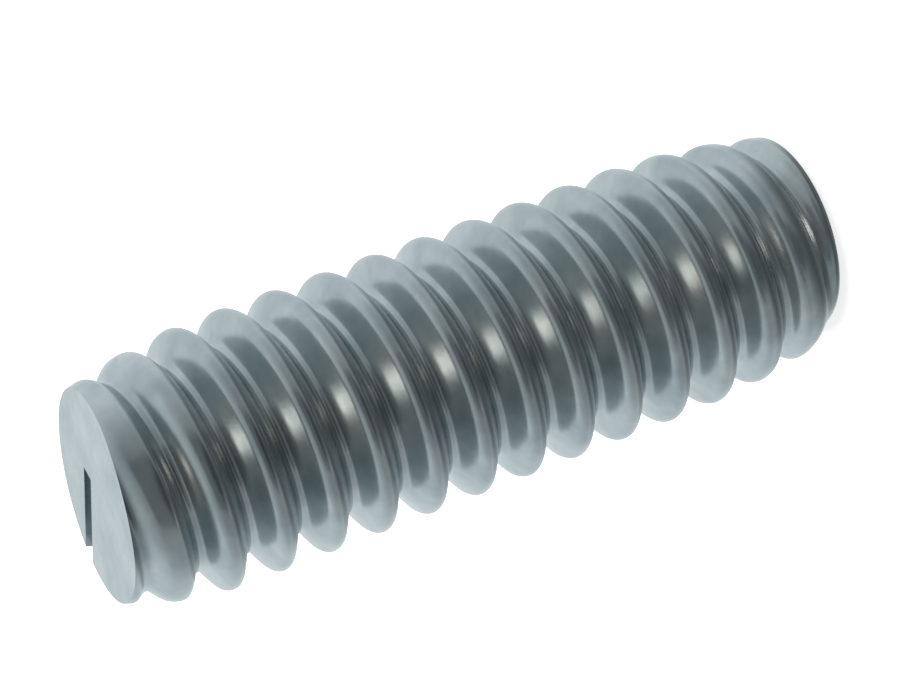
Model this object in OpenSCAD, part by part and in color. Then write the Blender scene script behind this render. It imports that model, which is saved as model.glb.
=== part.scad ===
// Headless threaded stud: one piece of plated steel, threaded over its whole length,
// that joins two parts with matching female threads.
// It stands on its square end. The axis of the thread is Z, and its upper end is cut a little askew.

/* [Thread] */
// Outside diameter over the crests
major_d = 6.14; // [6:0.01:6.32]
// Pitch diameter, where thread and groove are equally wide
pitch_d = 5.5; // [5.24:0.01:5.6]
// Diameter at the bottom of the groove
root_d = 4.76; // [4.6:0.01:4.9]
// Distance between neighbouring crests
pitch = 1.27; // [1.27:0.01:1.3]
// Angle round the axis, in degrees, at which a crest crosses the square end
thread_start = 323; // [0:1:359]

/* [Ends] */
// Length along the axis, over both ends
stud_l = 18.2; // [12:0.1:30]
// Diameter at which the slim taper would meet the square end's face
foot_d = 5.14; // [4.8:0.02:5.4]
// Angle, in degrees, between the axis and that taper
foot_taper = 12; // [6:0.5:20]
// Diameter of the flat that the blunt 45 degree edge leaves there
flat_d = 4.76; // [4.2:0.02:4.8]
// Angle, in degrees, by which that blunt edge leans, though the flat is square
flat_lean = 6.4; // [0:0.2:8]
// Diameter at which the slim taper meets the skew end's face
rim_d = 5; // [4.8:0.02:5.4]
// Angle, in degrees, between the axis and that taper
rim_taper = 17; // [10:0.5:24]
// Angle, in degrees, by which that taper leans
rim_lean = 2.6; // [0:0.2:6]
// Angle, in degrees, by which the skew end's face leans away from square
skew = 5.2; // [0:0.1:8]

/* [Nick] */
// Width of the shallow saw nick in the skew end
nick_w = 0.45; // [0.3:0.05:0.7]
// Depth of the nick
nick_depth = 0.2; // [0.1:0.05:0.5]
// Angle round the axis, in degrees, at which the nick runs out through the rim
nick_turn = 133; // [100:1:150]
// Distance of the nick's middle line from the axis
nick_offset = 0.6; // [0:0.02:1]
// Distance by which its blind end passes the axis
nick_past = 0.2; // [0:0.05:1]

/* [Detail] */
// Steps in one turn of the thread
turn_steps = 36; // [24:4:40]
// Points on each rounded crest and each rounded root
arc_points = 4; // [3:1:5]

/* [Hidden] */
flank_angle = 30;
arc_end = 90 - flank_angle;
arc_step = 2 * arc_end / (arc_points - 1);
crest_w = pitch / 2 - (major_d - pitch_d) * tan(flank_angle);
root_w = pitch / 2 - (pitch_d - root_d) * tan(flank_angle);
crest_r = crest_w / 2 / tan(flank_angle);
root_r = root_w / 2 / tan(flank_angle);
// The thread is made a little over one turn longer at each end, for the end faces to cut
spare_turns = 1.25;
turns = ceil(stud_l / pitch + 2 * spare_turns);
rows = turns * turn_steps;
last_row = rows - turn_steps;
// Each end is cut by a cone that reaches this far past the other end
clear = 1;
cone_l = stud_l + clear;

// One pitch of the thread's outline as [height, radius]: a rounded crest, then a rounded root
outline = concat(
    [for (k = [0 : arc_points - 1]) crest_point(k * arc_step - arc_end)],
    [for (k = [0 : arc_points - 1]) root_point(k * arc_step - arc_end)]
);
count = len(outline);

function crest_point(a) = [crest_r * sin(a), major_d / 2 - crest_r * (1 - cos(a))];

function root_point(a) = [pitch / 2 + root_r * sin(a), root_d / 2 + root_r * (1 - cos(a))];

// Outline point j on row i, where each row is one step round the axis and up the helix
function thread_point(i, j) =
    let (turn = i / turn_steps - spare_turns, a = thread_start + 360 * turn, p = outline[j])
    [p[1] * cos(a), p[1] * sin(a), p[0] + pitch * turn];

// Place of that point in the list: after an outline's last point comes the first one a turn later
function place(i, j) =
    j == count ? place(i + turn_steps, 0)
    : i <= last_row ? i * count + j
    : last_row * count + count + i - last_row - 1;

// Right-hand helical thread, closed at each end by a fan of triangles round the axis
module thread() {
    rings = [for (i = [0 : last_row], j = [0 : count - 1]) thread_point(i, j)];
    last_turn = [for (i = [last_row + 1 : rows]) thread_point(i, 0)];
    low = len(rings) + len(last_turn);
    high = low + 1;
    centres = [[0, 0, -pitch * spare_turns], [0, 0, pitch * (turns - spare_turns)]];
    walls = [
        for (i = [0 : last_row - 1], j = [0 : count - 1])
        each [
            [place(i, j), place(i, j + 1), place(i + 1, j)],
            [place(i + 1, j), place(i, j + 1), place(i + 1, j + 1)]
        ]
    ];
    low_rim = concat(
        [for (i = [0 : turn_steps]) place(i, 0)],
        [for (j = [count - 1 : -1 : 1]) place(0, j)]
    );
    high_rim = concat(
        [for (j = [0 : count]) place(last_row, j)],
        [for (i = [rows - 1 : -1 : last_row + 1]) place(i, 0)]
    );
    polyhedron(
        concat(rings, last_turn, centres),
        concat(walls, fan(low, low_rim), fan(high, high_rim))
    );
}

function fan(centre, rim) =
    [for (k = [0 : len(rim) - 1]) [centre, rim[k], rim[(k + 1) % len(rim)]]];

// Cone that trims an end whose face is z = 0: diameter d there, and widening to past the other end
module end_cone(d, angle) {
    translate([0, 0, -clear])
        cylinder(
            h = cone_l + clear,
            r1 = d / 2 - clear * tan(angle),
            r2 = d / 2 + cone_l * tan(angle),
            $fn = 96
        );
}

// All that lies past a face at z = 0
module past_face() {
    translate([-cone_l, -cone_l, -2 * cone_l])
        cube(2 * cone_l);
}

// Frame of the skew end, leaning by an angle: its face is z = 0, and the stud is on the +Z side
module on_skew_end(lean) {
    translate([0, 0, stud_l])
        rotate([0, lean, 0])
            mirror([0, 0, 1])
                children();
}

// Shallow saw nick, from a blind end beside the axis out through the rim
module nick() {
    on_skew_end(skew)
        rotate([0, 0, nick_turn])
            translate([-nick_past, -nick_offset - nick_w / 2, -clear])
                cube([nick_past + major_d, nick_w, clear + nick_depth]);
}

module stud() {
    color("silver")
        difference() {
            intersection() {
                thread();
                end_cone(foot_d, foot_taper);
                rotate([0, flat_lean, 0])
                    end_cone(flat_d, 45);
                on_skew_end(rim_lean)
                    end_cone(rim_d, rim_taper);
            }
            past_face();
            on_skew_end(skew)
                past_face();
            nick();
        }
}

stud();
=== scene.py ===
import bpy, bmesh, math
from mathutils import Matrix, Vector


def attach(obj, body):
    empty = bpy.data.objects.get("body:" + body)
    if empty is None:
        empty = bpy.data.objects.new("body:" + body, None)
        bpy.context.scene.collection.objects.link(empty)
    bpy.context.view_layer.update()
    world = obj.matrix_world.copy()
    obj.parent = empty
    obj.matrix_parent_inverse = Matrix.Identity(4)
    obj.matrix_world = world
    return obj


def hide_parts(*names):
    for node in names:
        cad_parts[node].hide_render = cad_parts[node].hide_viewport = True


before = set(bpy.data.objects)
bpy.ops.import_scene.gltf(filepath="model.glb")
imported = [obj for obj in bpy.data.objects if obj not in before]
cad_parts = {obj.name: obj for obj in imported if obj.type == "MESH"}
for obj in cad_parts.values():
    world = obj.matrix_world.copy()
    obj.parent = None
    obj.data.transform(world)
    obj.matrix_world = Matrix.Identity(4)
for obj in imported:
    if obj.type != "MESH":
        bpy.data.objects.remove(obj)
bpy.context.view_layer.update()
scene = bpy.context.scene
mm = 0.001


def srgb(hexColour):
    parts = [int(hexColour[k:k + 2], 16) / 255 for k in (1, 3, 5)]
    return tuple(c / 12.92 if c <= 0.04045 else ((c + 0.055) / 1.055) ** 2.4 for c in parts) + (1,)


def addNode(tree, kind, settings=None, links=None):
    # settings: attributes by name, and sockets by name or number; links: socket -> output socket
    node = tree.nodes.new(kind)
    for key, value in (settings or {}).items():
        if isinstance(key, str) and hasattr(node, key):
            setattr(node, key, value)
        else:
            node.inputs[key].default_value = value
    for key, source in (links or {}).items():
        tree.links.new(source, node.inputs[key])
    return node


def addMath(tree, operation, first, second):
    return addNode(tree, "ShaderNodeMath", {"operation": operation}, {0: first, 1: second}).outputs[0]


def addDot(tree, way, direction):
    # the cosine of the angle between a way through the room and a fixed direction
    settings = {"operation": 'DOT_PRODUCT', 1: direction}
    return addNode(tree, "ShaderNodeVectorMath", settings, {0: way}).outputs["Value"]


def addMap(tree, source, fromMin, fromMax, toMin, toMax, smooth='LINEAR'):
    settings = {
        "interpolation_type": smooth, "From Min": fromMin, "From Max": fromMax,
        "To Min": toMin, "To Max": toMax,
    }
    return addNode(tree, "ShaderNodeMapRange", settings, {"Value": source}).outputs["Result"]


def addRamp(tree, source, stops, smooth='LINEAR'):
    # stops: position -> colour
    ramp = addNode(tree, "ShaderNodeValToRGB", None, {"Fac": source})
    ramp.color_ramp.interpolation = smooth
    marks = ramp.color_ramp.elements
    while len(marks) < len(stops):
        marks.new(0.5)
    for mark, (place, colour) in zip(marks, sorted(stops.items())):
        mark.position = place
        mark.color = colour
    return ramp.outputs["Color"]


def addMix(tree, share, below, above):
    return addNode(tree, "ShaderNodeMixShader", None, {0: share, 1: below, 2: above}).outputs[0]


def addSum(tree, first, second):
    return addNode(tree, "ShaderNodeAddShader", None, {0: first, 1: second}).outputs[0]


def newMaterial(name):
    material = bpy.data.materials.new(name)
    material.use_nodes = True
    return material


def meshObject(name, bm):
    mesh = bpy.data.meshes.new(name)
    bm.to_mesh(mesh)
    bm.free()
    piece = bpy.data.objects.new(name, mesh)
    scene.collection.objects.link(piece)
    return piece


def turnAboutAxis(degrees):
    return Matrix.Rotation(math.radians(degrees), 3, 'Z')


# lengths in mm, angles in degrees
stud = {
    "majorD": 6.14, "pitchD": 5.5, "rootD": 4.76, "pitch": 1.27,
    "threadStart": 323,          # where round the axis a crest crosses the square end
    "length": 18.2,
    "footD": 5.14, "footTaper": 12,
    "flatD": 4.76, "flatTaper": 45, "flatLean": 6.4,
    "rimD": 5.0, "rimTaper": 17, "rimLean": 2.6, "skew": 5.2,
    "nickW": 0.45, "nickDepth": 0.2, "nickTurn": 133, "nickOffset": 0.6, "nickPast": 0.2,
    "edgeSoft": 0.4,             # size of the rounding where crests run into the tapers
    "sharpFrom": 32,             # edges that turn by more than this stay sharp
    "stepsPerTurn": 120, "crestPieces": 12, "rootPieces": 8, "flankCuts": 3,
    "spareTurns": 2,             # thread made past each end, for the faces to cut
    "play": 0.02,                # by which the fine thread stays inside the solid's box
}


def leaningFrame(height, lean, flip):
    # the frame of an end: z = 0 is its face and the stud is on the +Z side
    turn = Matrix.Rotation(math.radians(lean), 4, 'Y')
    if flip:
        turn = turn @ Matrix.Scale(-1, 4, Vector((0, 0, 1)))
    return Matrix.Translation((0, 0, height * mm)) @ turn


def makeOutline(bm, v):
    # one pitch of the profile, from mid flank to mid flank: a sharp crest and a sharp root
    tan30 = math.tan(math.radians(30))
    tan60 = math.tan(math.radians(60))
    crestR = (v["pitch"] / 2 - (v["majorD"] - v["pitchD"]) * tan30) / 2 / tan30
    rootR = (v["pitch"] / 2 - (v["pitchD"] - v["rootD"]) * tan30) / 2 / tan30
    corners = [
        (v["pitchD"] / 2, -v["pitch"] / 4),
        (v["majorD"] / 2 - v["play"] + crestR, 0),
        (v["pitchD"] / 2, v["pitch"] / 4),
        (v["rootD"] / 2 - rootR, v["pitch"] / 2),
        (v["pitchD"] / 2, v["pitch"] * 3 / 4),
    ]
    chain = [bm.verts.new((r * mm, 0, z * mm)) for r, z in corners]
    for a, b in zip(chain, chain[1:]):
        bm.edges.new((a, b))
    # rounded: each bevel ends where its arc meets the flank
    arcShare = 3 - 1.5 * math.sqrt(2)      # how deep a bevel's arc cuts a 60 degree corner, for a radius of 1
    for vert, radius, pieces in ((chain[1], crestR, v["crestPieces"]), (chain[3], rootR, v["rootPieces"])):
        bmesh.ops.bevel(
            bm, geom=[vert], offset=radius / arcShare * tan60 * mm, offset_type='OFFSET',
            affect='VERTICES', segments=pieces, profile=0.5, material=-1)
    longerThanArcs = 0.15 * mm
    flanks = [e for e in bm.edges if e.calc_length() > longerThanArcs]
    bmesh.ops.subdivide_edges(bm, edges=flanks, cuts=v["flankCuts"])


def windThread(bm, v):
    # one turn of the screw, from some pitches below the square end
    spare = v["spareTurns"]
    bmesh.ops.translate(bm, verts=bm.verts[:], vec=(0, 0, -spare * v["pitch"] * mm))
    bmesh.ops.rotate(bm, verts=bm.verts[:], cent=(0, 0, 0), matrix=turnAboutAxis(v["threadStart"]))
    bmesh.ops.spin(
        bm, geom=bm.verts[:] + bm.edges[:], cent=(0, 0, 0), axis=(0, 0, 1),
        dvec=(0, 0, v["pitch"] / v["stepsPerTurn"] * mm), angle=2 * math.pi, steps=v["stepsPerTurn"])
    # and the same turn again, pitch by pitch
    turn = bm.verts[:] + bm.edges[:] + bm.faces[:]
    for n in range(1, math.ceil(v["length"] / v["pitch"]) + 2 * spare):
        copy = bmesh.ops.duplicate(bm, geom=turn)
        fresh = [g for g in copy["geom"] if isinstance(g, bmesh.types.BMVert)]
        bmesh.ops.translate(bm, verts=fresh, vec=(0, 0, n * v["pitch"] * mm))
    weldWithin = 0.0005 * mm
    bmesh.ops.remove_doubles(bm, verts=bm.verts[:], dist=weldWithin)


def trimToCone(bm, place, diameter, angle, soft):
    # every vertex outside the cone is drawn in to its surface, with a rounded edge of about the given size
    back = place.inverted()
    slope = math.tan(math.radians(angle))
    leastRadius = 0.2 * mm
    for vert in bm.verts:
        p = back @ vert.co
        limit = max(diameter / 2 * mm + p.z * slope, leastRadius)
        reach = math.hypot(p.x, p.y)
        near = max(soft * mm - abs(reach - limit), 0) / (soft * mm)
        kept = min(reach, limit) - near * near * soft * mm / 4
        if kept < reach and reach > 0:
            p.x *= kept / reach
            p.y *= kept / reach
            vert.co = place @ p


def closeEnd(bm, point, normal):
    # cuts off all that lies past a face, and fills the face
    cutWithin = 0.00001 * mm
    flushWithin = 0.001 * mm
    bmesh.ops.bisect_plane(
        bm, geom=bm.verts[:] + bm.edges[:] + bm.faces[:], dist=cutWithin,
        plane_co=point, plane_no=normal, clear_outer=True)
    rim = [
        e for e in bm.edges
        if e.is_boundary and all(abs((q.co - point).dot(normal)) < flushWithin for q in e.verts)
    ]
    bmesh.ops.edgeloop_fill(bm, edges=rim)


def makeStud(v):
    bm = bmesh.new()
    makeOutline(bm, v)
    windThread(bm, v)
    # the slim tapers and the blunt edge
    trimToCone(bm, Matrix.Identity(4), v["footD"], v["footTaper"], v["edgeSoft"])
    trimToCone(bm, leaningFrame(0, v["flatLean"], False), v["flatD"], v["flatTaper"], v["edgeSoft"] / 2)
    trimToCone(bm, leaningFrame(v["length"], v["rimLean"], True), v["rimD"], v["rimTaper"], v["edgeSoft"])
    top = leaningFrame(v["length"], v["skew"], False)
    closeEnd(bm, Vector((0, 0, 0)), Vector((0, 0, -1)))
    closeEnd(bm, top.translation, top.to_3x3() @ Vector((0, 0, 1)))
    bmesh.ops.recalc_face_normals(bm, faces=bm.faces[:])
    return bm


def makeNickCutter(v):
    # a box from just past the axis out through the rim, as wide and as deep as the saw nick
    reach = 6.0
    rise = 1.0
    size = (reach * mm, v["nickW"] * mm, (rise + v["nickDepth"]) * mm)
    middle = ((reach / 2 - v["nickPast"]) * mm, -v["nickOffset"] * mm, (rise - v["nickDepth"]) / 2 * mm)
    bm = bmesh.new()
    bmesh.ops.create_cube(bm, size=1)
    bmesh.ops.scale(bm, verts=bm.verts[:], vec=size)
    bmesh.ops.translate(bm, verts=bm.verts[:], vec=middle)
    bmesh.ops.rotate(bm, verts=bm.verts[:], cent=(0, 0, 0), matrix=turnAboutAxis(v["nickTurn"]))
    bmesh.ops.transform(bm, verts=bm.verts[:], matrix=leaningFrame(v["length"], v["skew"], False))
    return bm


def cutNick(piece, cutter):
    # the cutter is thrown away afterwards
    cut = piece.modifiers.new("nick", 'BOOLEAN')
    cut.operation = 'DIFFERENCE'
    cut.object = cutter
    cut.solver = 'EXACT'
    bpy.context.view_layer.update()
    cutMesh = bpy.data.meshes.new_from_object(piece.evaluated_get(bpy.context.evaluated_depsgraph_get()))
    piece.modifiers.clear()
    piece.data = cutMesh
    bpy.data.objects.remove(cutter)


studPiece = meshObject("studThreaded", makeStud(stud))
cutNick(studPiece, meshObject("nickCutter", makeNickCutter(stud)))
for face in studPiece.data.polygons:
    face.use_smooth = True
studPiece.data.set_sharp_from_angle(angle=math.radians(stud["sharpFrom"]))
print("stud made:", len(studPiece.data.polygons), "faces")

# zinc plated steel, satin: a soft grey metal with dull, slightly uneven reflections
finish = {
    "metal": "#ADB7BA", "paler": "#BAC2C4", "duller": "#9FACB0",
    "roughness": 0.24, "roughnessPlay": 0.025,
    "cloudScale": 900.0, "grainScale": 5200.0,       # noise scales, per metre
    "noiseLow": 0.3, "noiseHigh": 0.7,               # colour and roughness change between these noise values
    "bumpStrength": 0.12, "bumpHeight": 0.004,       # height in mm
}


def makePlatedSteel(v):
    material = newMaterial("zincPlatedSteelSatin")
    tree = material.node_tree
    shader = tree.nodes["Principled BSDF"]
    shader.inputs["Metallic"].default_value = 1.0
    where = addNode(tree, "ShaderNodeTexCoord").outputs["Object"]
    low = v["noiseLow"]
    high = v["noiseHigh"]
    # clouds of paler and duller plating, about a millimetre across
    cloudLook = {"Scale": v["cloudScale"], "Detail": 3.0, "Roughness": 0.55}
    clouds = addNode(tree, "ShaderNodeTexNoise", cloudLook, {"Vector": where}).outputs["Fac"]
    stops = {low: srgb(v["duller"]), (low + high) / 2: srgb(v["metal"]), high: srgb(v["paler"])}
    tree.links.new(addRamp(tree, clouds, stops), shader.inputs["Base Color"])
    # a finer grain that breaks up the sheen
    grainLook = {"Scale": v["grainScale"], "Detail": 3.0, "Roughness": 0.6}
    grain = addNode(tree, "ShaderNodeTexNoise", grainLook, {"Vector": where}).outputs["Fac"]
    least = v["roughness"] - v["roughnessPlay"]
    most = v["roughness"] + v["roughnessPlay"]
    tree.links.new(addMap(tree, grain, low, high, least, most), shader.inputs["Roughness"])
    bumpLook = {"Strength": v["bumpStrength"], "Distance": v["bumpHeight"] * mm}
    bump = addNode(tree, "ShaderNodeBump", bumpLook, {"Height": grain})
    tree.links.new(bump.outputs["Normal"], shader.inputs["Normal"])
    return material


studPiece.data.materials.clear()
studPiece.data.materials.append(makePlatedSteel(finish))
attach(studPiece, "root")
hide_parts("stud")
print("metal made")

# angles in degrees, turned from the front (-Y) towards +X and raised from level
room = {
    "plainLevel": 0.35,
    # what polished metal sees: a grey room in front of the stud, a pale one behind it and towards +X
    "paleSide": (0.26, 0.966, 0), "tint": "#F4FAFC",
    "shades": {0.2: 0.43, 0.37: 0.59, 0.63: 0.9, 0.85: 1.02},
    # one dark flag, low in front
    "flagAngle": -12, "flagHeight": -15, "flagCore": 17, "flagEdge": 34, "flagShade": 0.38,
    # one warm lamp lower still, with a wide halo, which the thread flanks carry as a row of bright spots
    "lampAngle": 5, "lampHeight": -42, "lampCore": 0, "lampEdge": 16.5, "lampLevel": 4.9,
    "haloEdge": 62, "haloLevel": 0.35, "lampTint": "#FFEBDC",
    # the dark straight below, by the sine of its height
    "underFrom": -0.9, "underTo": -0.4, "underShade": 0.25,
}


def seenThrough(tree, kinds):
    # 1 for the named kinds of ray, 0 for the rest
    path = addNode(tree, "ShaderNodeLightPath")
    total = path.outputs[kinds[0]]
    for kind in kinds[1:]:
        total = addMath(tree, 'MAXIMUM', total, path.outputs[kind])
    return total


def addPatch(tree, way, angle, height, core, edge, inside, outside):
    # a round patch of the room, with one level in its core that fades to another at its edge
    turn = math.radians(angle)
    rise = math.radians(height)
    middle = (math.sin(turn) * math.cos(rise), -math.cos(turn) * math.cos(rise), math.sin(rise))
    edgeCos = math.cos(math.radians(edge))
    coreCos = math.cos(math.radians(core))
    return addMap(tree, addDot(tree, way, middle), edgeCos, coreCos, outside, inside, 'SMOOTHSTEP')


def addGrades(tree, way, v):
    # the room's soft run from grey to pale, darker at the flag and straight below
    along = addMap(tree, addDot(tree, way, v["paleSide"]), -1.0, 1.0, 0.0, 1.0)
    tint = srgb(v["tint"])
    stops = {place: tuple(c * shade for c in tint[:3]) + (1,) for place, shade in v["shades"].items()}
    colour = addRamp(tree, along, stops, 'EASE')
    flag = addPatch(
        tree, way, v["flagAngle"], v["flagHeight"], v["flagCore"], v["flagEdge"], v["flagShade"], 1.0)
    height = addNode(tree, "ShaderNodeSeparateXYZ", None, {0: way}).outputs["Z"]
    under = addMap(tree, height, v["underFrom"], v["underTo"], v["underShade"], 1.0, 'SMOOTHSTEP')
    shade = addMath(tree, 'MULTIPLY', flag, under)
    return addNode(tree, "ShaderNodeBackground", None, {0: colour, 1: shade}).outputs[0]


def addLamp(tree, way, v):
    # only light that has met the metal twice, flank to flank, carries the lamp
    place = (v["lampAngle"], v["lampHeight"], v["lampCore"])
    lamp = addPatch(tree, way, *place, v["lampEdge"], v["lampLevel"], 0.0)
    halo = addPatch(tree, way, *place, v["haloEdge"], v["haloLevel"], 0.0)
    both = addMath(tree, 'ADD', lamp, halo)
    bounces = addNode(tree, "ShaderNodeLightPath").outputs["Glossy Depth"]
    moreThanOnce = {"operation": 'GREATER_THAN', 1: 1.5}
    twice = addNode(tree, "ShaderNodeMath", moreThanOnce, {0: bounces}).outputs[0]
    level = addMath(tree, 'MULTIPLY', both, twice)
    return addNode(tree, "ShaderNodeBackground", {0: srgb(v["lampTint"])}, {1: level}).outputs[0]


def makeRoom(v):
    world = bpy.data.worlds.new("studio")
    world.use_nodes = True
    tree = world.node_tree
    plain = tree.nodes["Background"]
    plain.inputs[0].default_value = (1, 1, 1, 1)
    plain.inputs[1].default_value = v["plainLevel"]
    white = addNode(tree, "ShaderNodeBackground", {0: (1, 1, 1, 1), 1: 1.0}).outputs[0]
    way = addNode(tree, "ShaderNodeTexCoord").outputs["Generated"]
    reflected = addSum(tree, addGrades(tree, way, v), addLamp(tree, way, v))
    seen = seenThrough(tree, ["Is Camera Ray", "Is Transmission Ray"])
    toCamera = addMix(tree, seen, plain.outputs[0], white)
    toMetal = addMix(tree, seenThrough(tree, ["Is Glossy Ray"]), toCamera, reflected)
    tree.links.new(toMetal, tree.nodes["World Output"].inputs[0])
    return world


# white paper, matt, with a glow of its own: it reads white and keeps a faint shadow of the stud
paper = {"radius": 400, "sides": 96, "colour": "#E8E8E6", "roughness": 0.9, "glow": 0.7}      # radius in mm


def makeFloor(v):
    bm = bmesh.new()
    bmesh.ops.create_circle(bm, cap_ends=True, segments=v["sides"], radius=v["radius"] * mm)
    floor = meshObject("floor", bm)
    material = newMaterial("whitePaper")
    tree = material.node_tree
    shader = tree.nodes["Principled BSDF"]
    shader.inputs["Base Color"].default_value = srgb(v["colour"])
    shader.inputs["Roughness"].default_value = v["roughness"]
    glow = addNode(tree, "ShaderNodeEmission", {0: (1, 1, 1, 1), 1: v["glow"]}).outputs[0]
    lifted = addSum(tree, shader.outputs[0], glow)
    seen = seenThrough(tree, ["Is Camera Ray", "Is Glossy Ray", "Is Transmission Ray"])
    tree.links.new(addMix(tree, seen, shader.outputs[0], lifted), tree.nodes["Material Output"].inputs[0])
    floor.data.materials.append(material)
    floor.visible_glossy = False


scene.world = makeRoom(room)
makeFloor(paper)
print("room and floor made")

# lengths in mm, power in watts
softbox = {"place": (0, 40, 160), "aim": (0, 0, 9), "size": 160, "power": 0.35}
# held near the upper end, so that end stands darker than the other
upperFlag = {"left": -34, "right": 14, "front": -30, "low": 4, "high": 46, "shade": 0.5}


def addSoftbox(name, v):
    lamp = bpy.data.lights.new(name, 'AREA')
    lamp.shape = 'RECTANGLE'
    lamp.size = v["size"] * mm
    lamp.size_y = v["size"] * mm
    lamp.energy = v["power"]
    box = bpy.data.objects.new(name, lamp)
    box.location = Vector(v["place"]) * mm
    box.rotation_euler = (Vector(v["aim"]) - Vector(v["place"])).to_track_quat('-Z', 'Y').to_euler()
    scene.collection.objects.link(box)
    box.visible_glossy = False


def addFlag(name, v):
    # a card of thin cloth that only the metal sees, and that lets a share of the room through
    corners = [
        (v["left"], v["front"], v["low"]), (v["right"], v["front"], v["low"]),
        (v["right"], v["front"], v["high"]), (v["left"], v["front"], v["high"]),
    ]
    bm = bmesh.new()
    bm.faces.new([bm.verts.new(Vector(c) * mm) for c in corners])
    card = meshObject(name, bm)
    for kind in ("visible_camera", "visible_diffuse", "visible_shadow", "visible_transmission"):
        setattr(card, kind, False)
    cloth = newMaterial(name + "Cloth")
    tree = cloth.node_tree
    shade = v["shade"]
    through = addNode(tree, "ShaderNodeBsdfTransparent", {0: (shade, shade, shade, 1)})
    tree.links.new(through.outputs[0], tree.nodes["Material Output"].inputs[0])
    card.data.materials.append(cloth)


addSoftbox("softboxAbove", softbox)
addFlag("flagUpper", upperFlag)
print("lights placed")

# place and nearest in metres, angles in degrees, lens and sensor in mm
view = {
    "place": (0.000576, -0.078328, 0.037035), "angles": (-44.1623, 62.006, -137.7228),
    "lens": 143.27, "sensor": 36, "nearest": 0.001,
}


def addCamera(v):
    camera = bpy.data.objects.new("camera", bpy.data.cameras.new("camera"))
    scene.collection.objects.link(camera)
    camera.data.lens = v["lens"]
    camera.data.sensor_width = v["sensor"]
    camera.data.clip_start = v["nearest"]
    camera.location = v["place"]
    camera.rotation_euler = [math.radians(a) for a in v["angles"]]
    scene.camera = camera


addCamera(view)
scene.view_settings.view_transform = 'Standard'
print("camera placed")
